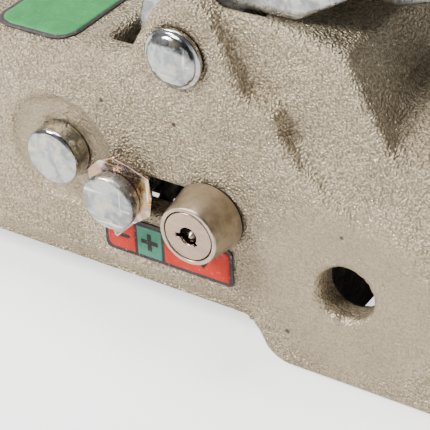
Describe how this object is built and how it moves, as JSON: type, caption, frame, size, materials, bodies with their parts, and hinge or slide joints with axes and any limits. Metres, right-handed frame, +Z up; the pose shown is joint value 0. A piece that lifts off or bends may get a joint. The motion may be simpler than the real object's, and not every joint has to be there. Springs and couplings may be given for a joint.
{
  "type": "lockable trailer coupling head",
  "caption": "Cast trailer coupling head with ball catch, slotted lever linkage, lift lever and a plug-in cylinder lock in the gauge slot.",
  "frame": {"origin": "centre of the tow ball in its socket", "axes": "+X back along the drawbar, +Z up, lock on the -Y side"},
  "size_m": [0.2775, 0.0818, 0.1101],
  "materials": {
    "cast_paint": "metallic sand paint over a rough casting",
    "zinc_steel": "bright zinc plating",
    "yellow_zinc": "yellow passivated spring steel",
    "spring_steel": "oiled dark spring steel",
    "bare_cast": "bare casting",
    "lock_nickel": "brushed nickel",
    "lock_brass": "plain",
    "bronze_bush": "sintered",
    "friction": "pressed friction lining",
    "seal_rubber": "smooth",
    "grip_plastic": "fine texture",
    "trigger_plastic": "satin",
    "gauge_film": "printed film",
    "green_film": "printed film"
  },
  "bodies": {
    "housing": {"nose_wall": "cast_paint", "nose_cap": "cast_paint", "side_wall_near": "cast_paint", "side_wall_far": "cast_paint", "front_roof": "cast_paint", "lever_tower": "cast_paint", "drawbar_seat": "cast_paint", "front_friction_pad": "friction", "front_pad_pin": "zinc_steel", "guide_pin": "zinc_steel", "pivot_pin": "zinc_steel", "pivot_washer": "zinc_steel", "pivot_clip": "spring_steel", "spring_seat": "zinc_steel", "gauge_label": "gauge_film", "top_label": "green_film", "catch_spring": "spring_steel"},
    "catch": {"catch_carrier": "bare_cast", "ball_catch": "bare_cast", "catch_friction_pad": "friction", "pad_rivets": "lock_brass", "catch_screws": "spring_steel", "slot_bolt": "zinc_steel", "retainer_near": "yellow_zinc", "retainer_far": "yellow_zinc", "guide_rod": "zinc_steel", "guide_rod_nut": "zinc_steel"},
    "lever": {"lever_yoke": "zinc_steel", "pivot_bush_near": "bronze_bush", "pivot_bush_far": "bronze_bush", "pivot_spacer": "zinc_steel", "handle_bar": "zinc_steel", "handle_rivets": "zinc_steel", "handle_grip": "grip_plastic", "trigger_pin": "zinc_steel"},
    "trigger": {"release_trigger": "trigger_plastic"},
    "lock": {"lock_barrel": "lock_nickel", "lock_seal": "seal_rubber"},
    "lock_core": {"lock_core": "lock_nickel", "lock_wafers": "lock_brass", "lock_cam": "zinc_steel", "cam_screw": "zinc_steel"}
  },
  "joints": [
    {"name": "lever_lift", "type": "hinge", "parent": "housing", "child": "lever", "pos_m": [0.0878, 0, 0.0367], "axis": [0, -1, 0], "range_deg": [0, 7.5]},
    {"name": "catch_slide", "type": "slide", "parent": "housing", "child": "catch", "axis": [1, 0, 0], "range_m": [0, 0.0055], "stiffness_N_per_m": 8000, "springref_m": -0.004, "deforming": ["catch_spring"]},
    {"name": "trigger_squeeze", "type": "hinge", "parent": "lever", "child": "trigger", "pos_m": [0.172, 0, 0.056], "axis": [0, -1, 0], "range_deg": [0, 7], "stiffness_Nm_per_rad": 0.4, "springref_deg": -5.73},
    {"name": "lock_pull", "type": "slide", "parent": "housing", "child": "lock", "axis": [0, -1, 0], "range_m": [0, 0.04]},
    {"name": "lock_turn", "type": "hinge", "parent": "lock", "child": "lock_core", "pos_m": [0.0945, -0.04, -0.0005], "axis": [0, -1, 0], "range_deg": [-90, 0]}
  ],
  "couplings": [
    {"joint": "catch_slide", "follows": "lever_lift", "m_per_rad": 0.041816}
  ]
}
